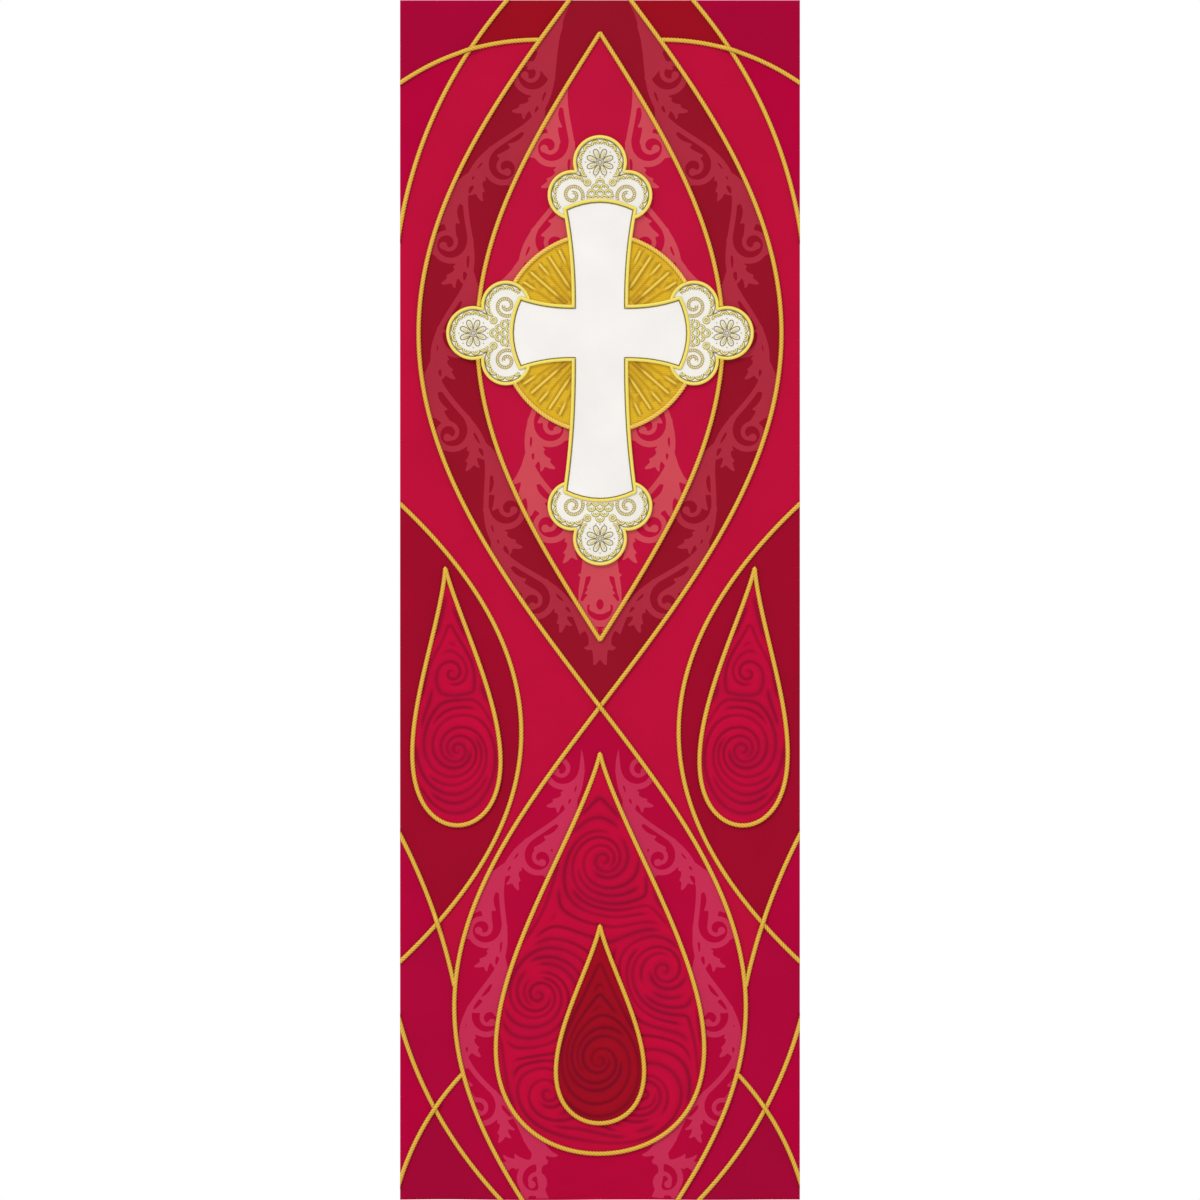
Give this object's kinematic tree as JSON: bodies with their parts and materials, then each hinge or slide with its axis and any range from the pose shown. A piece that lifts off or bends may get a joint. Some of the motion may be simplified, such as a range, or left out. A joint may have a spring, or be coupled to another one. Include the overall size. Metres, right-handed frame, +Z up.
{
  "type": "church banner",
  "caption": "Tall hanging cloth banner with a white cross on a rayed gold disc, quilted flames and gold cords over red damask.",
  "frame": {"origin": "middle of the top edge, on the ground cloth's face", "axes": "+Z up, the face looks along -Y, +X to the viewer's right"},
  "size_m": [0.6, 0.0194, 1.8],
  "materials": {
    "crimson_cloth": "matt plain-woven cotton with a soft satin look, patched in crimson, magenta and dark red",
    "dark_damask": "tone-on-tone dark red damask",
    "magenta_damask": "tone-on-tone magenta red damask",
    "crimson_damask": "tone-on-tone crimson damask",
    "quilted_crimson": "echo-quilted crimson cotton",
    "quilted_dark": "echo-quilted dark red cotton",
    "gold_cloth": "woven gold cloth with raised satin-stitch rays",
    "white_cloth": "matt white woven cloth",
    "lace_cloth": "white cloth filled with olive-gold lace stitching",
    "gold_cord": "twisted old-gold metallic cord, couched",
    "pale_gold_cord": "pale gold satin-stitched edging"
  },
  "bodies": {
    "root": {"ground_cloth": "crimson_cloth", "damask_upper": "dark_damask", "damask_lower": "magenta_damask", "centre_panel": "crimson_damask", "flame_centre": "quilted_crimson", "flame_heart": "quilted_dark", "flame_left": "quilted_crimson", "flame_right": "quilted_crimson", "disc": "gold_cloth", "cross_body": "white_cloth", "cross_end_right": "lace_cloth", "cross_end_bottom": "lace_cloth", "cross_end_left": "lace_cloth", "cross_end_top": "lace_cloth", "strand_left": "gold_cord", "strand_right": "gold_cord", "panel_cord_upper": "gold_cord", "panel_cord_lower": "gold_cord", "flame_cord_centre": "gold_cord", "flame_cord_heart": "gold_cord", "flame_cord_left": "gold_cord", "flame_cord_right": "gold_cord", "ground_cord_shoulder_left": "gold_cord", "ground_cord_shoulder_right": "gold_cord", "ground_cord_brow_left": "gold_cord", "ground_cord_brow_right": "gold_cord", "ground_cord_bay_left": "gold_cord", "ground_cord_bay_right": "gold_cord", "ground_cord_hip_left": "gold_cord", "ground_cord_hip_right": "gold_cord", "ground_cord_knee_left": "gold_cord", "ground_cord_knee_right": "gold_cord", "ground_cord_foot_left": "gold_cord", "ground_cord_foot_right": "gold_cord", "disc_cord_1": "gold_cord", "disc_cord_2": "gold_cord", "disc_cord_3": "gold_cord", "disc_cord_4": "gold_cord", "cross_cord": "pale_gold_cord", "cross_end_cord_right": "pale_gold_cord", "cross_end_cord_bottom": "pale_gold_cord", "cross_end_cord_left": "pale_gold_cord", "cross_end_cord_top": "pale_gold_cord"}
  },
  "joints": []
}
